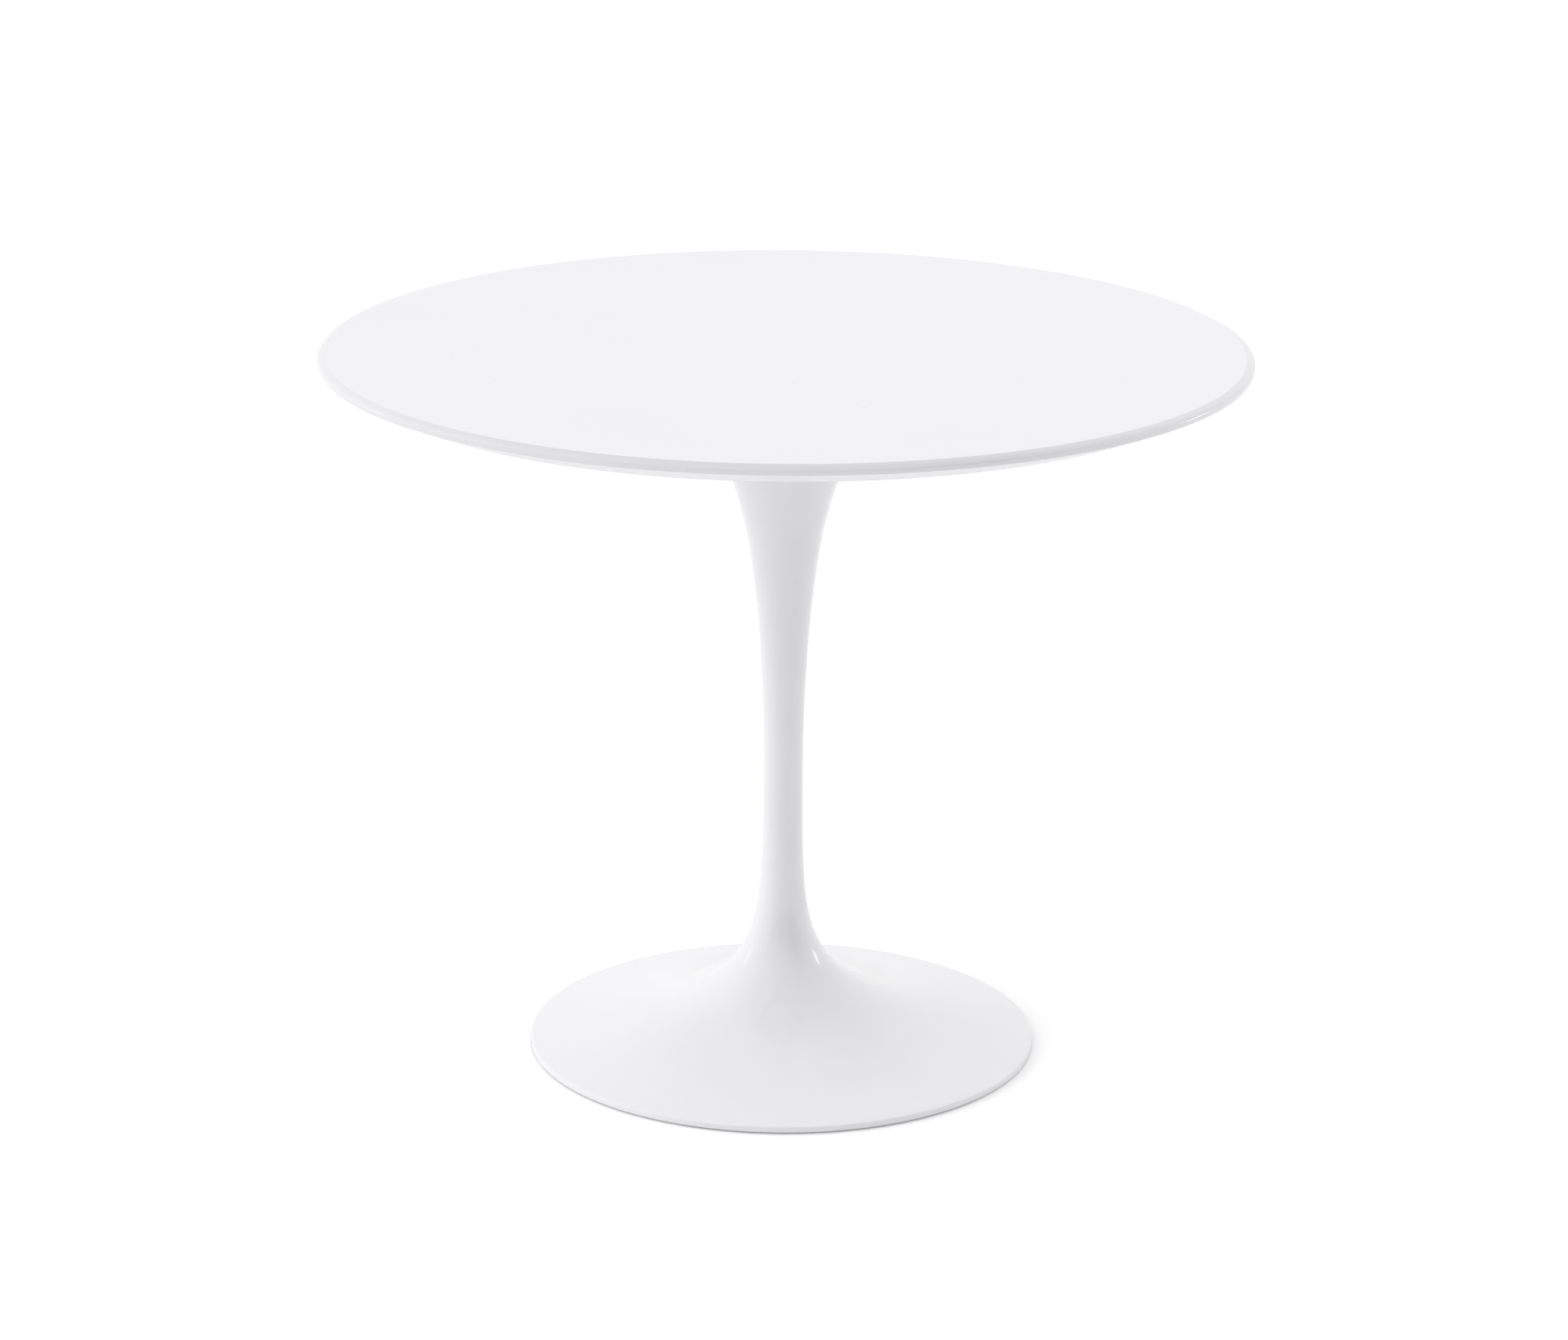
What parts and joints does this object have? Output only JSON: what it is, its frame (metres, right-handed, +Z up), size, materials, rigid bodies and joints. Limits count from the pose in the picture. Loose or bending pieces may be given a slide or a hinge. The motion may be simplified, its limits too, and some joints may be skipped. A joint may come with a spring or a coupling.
{
  "type": "round pedestal table",
  "caption": "Round dining table: a white bevel-edged top on a glossy one-piece trumpet pedestal, pulled together by one tie rod and standing on screw-adjusted levelling glides.",
  "frame": {"origin": "on the floor, under the middle of the table", "axes": "+Z up along the pedestal's axis; +X and +Y lie in the floor, midway between neighbouring glides"},
  "size_m": [0.9099, 0.91, 0.72],
  "materials": {
    "laminate": "matte",
    "edge_moulding": "satin",
    "core_lacquer": "satin",
    "backing": "matte",
    "brass": "satin",
    "plate_paint": "satin",
    "turned_steel": "satin",
    "zinc_steel": "satin",
    "dark_steel": "satin",
    "pedestal_lacquer": "gloss",
    "nylon": "satin"
  },
  "bodies": {
    "table": {"top_laminate": "laminate", "rim_moulding": "edge_moulding", "top_core": "core_lacquer", "backing_laminate": "backing", "threaded_inserts": "brass", "mounting_plate": "plate_paint", "plate_hub": "turned_steel", "plate_screws": "zinc_steel", "locating_pins": "turned_steel", "pedestal": "pedestal_lacquer", "tie_rod": "zinc_steel", "rod_lock_nut": "zinc_steel", "thrust_washer": "zinc_steel", "spring_washer": "dark_steel", "tie_nut": "zinc_steel"},
    "glide_1_pad": {"glide_pad_1": "nylon"},
    "glide_1_screw": {"glide_screw_1": "zinc_steel"},
    "glide_2_pad": {"glide_pad_2": "nylon"},
    "glide_2_screw": {"glide_screw_2": "zinc_steel"},
    "glide_3_pad": {"glide_pad_3": "nylon"},
    "glide_3_screw": {"glide_screw_3": "zinc_steel"},
    "glide_4_pad": {"glide_pad_4": "nylon"},
    "glide_4_screw": {"glide_screw_4": "zinc_steel"}
  },
  "joints": [
    {"name": "glide_1_height", "type": "slide", "parent": "table", "child": "glide_1_pad", "axis": [0, 0, -1], "range_m": [0, 0.004]},
    {"name": "glide_1_turn", "type": "hinge", "parent": "glide_1_pad", "child": "glide_1_screw", "pos_m": [0.13789, 0.13789, 0.007], "axis": [0, 0, -1], "range_deg": [0, 1150]},
    {"name": "glide_2_height", "type": "slide", "parent": "table", "child": "glide_2_pad", "axis": [0, 0, -1], "range_m": [0, 0.004]},
    {"name": "glide_2_turn", "type": "hinge", "parent": "glide_2_pad", "child": "glide_2_screw", "pos_m": [-0.13789, 0.13789, 0.007], "axis": [0, 0, -1], "range_deg": [0, 1150]},
    {"name": "glide_3_height", "type": "slide", "parent": "table", "child": "glide_3_pad", "axis": [0, 0, -1], "range_m": [0, 0.004]},
    {"name": "glide_3_turn", "type": "hinge", "parent": "glide_3_pad", "child": "glide_3_screw", "pos_m": [-0.13789, -0.13789, 0.007], "axis": [0, 0, -1], "range_deg": [0, 1150]},
    {"name": "glide_4_height", "type": "slide", "parent": "table", "child": "glide_4_pad", "axis": [0, 0, -1], "range_m": [0, 0.004]},
    {"name": "glide_4_turn", "type": "hinge", "parent": "glide_4_pad", "child": "glide_4_screw", "pos_m": [0.13789, -0.13789, 0.007], "axis": [0, 0, -1], "range_deg": [0, 1150]}
  ],
  "couplings": [
    {"joint": "glide_1_height", "follows": "glide_1_turn", "m_per_rad": 0.00019894},
    {"joint": "glide_2_height", "follows": "glide_2_turn", "m_per_rad": 0.00019894},
    {"joint": "glide_3_height", "follows": "glide_3_turn", "m_per_rad": 0.00019894},
    {"joint": "glide_4_height", "follows": "glide_4_turn", "m_per_rad": 0.00019894}
  ]
}
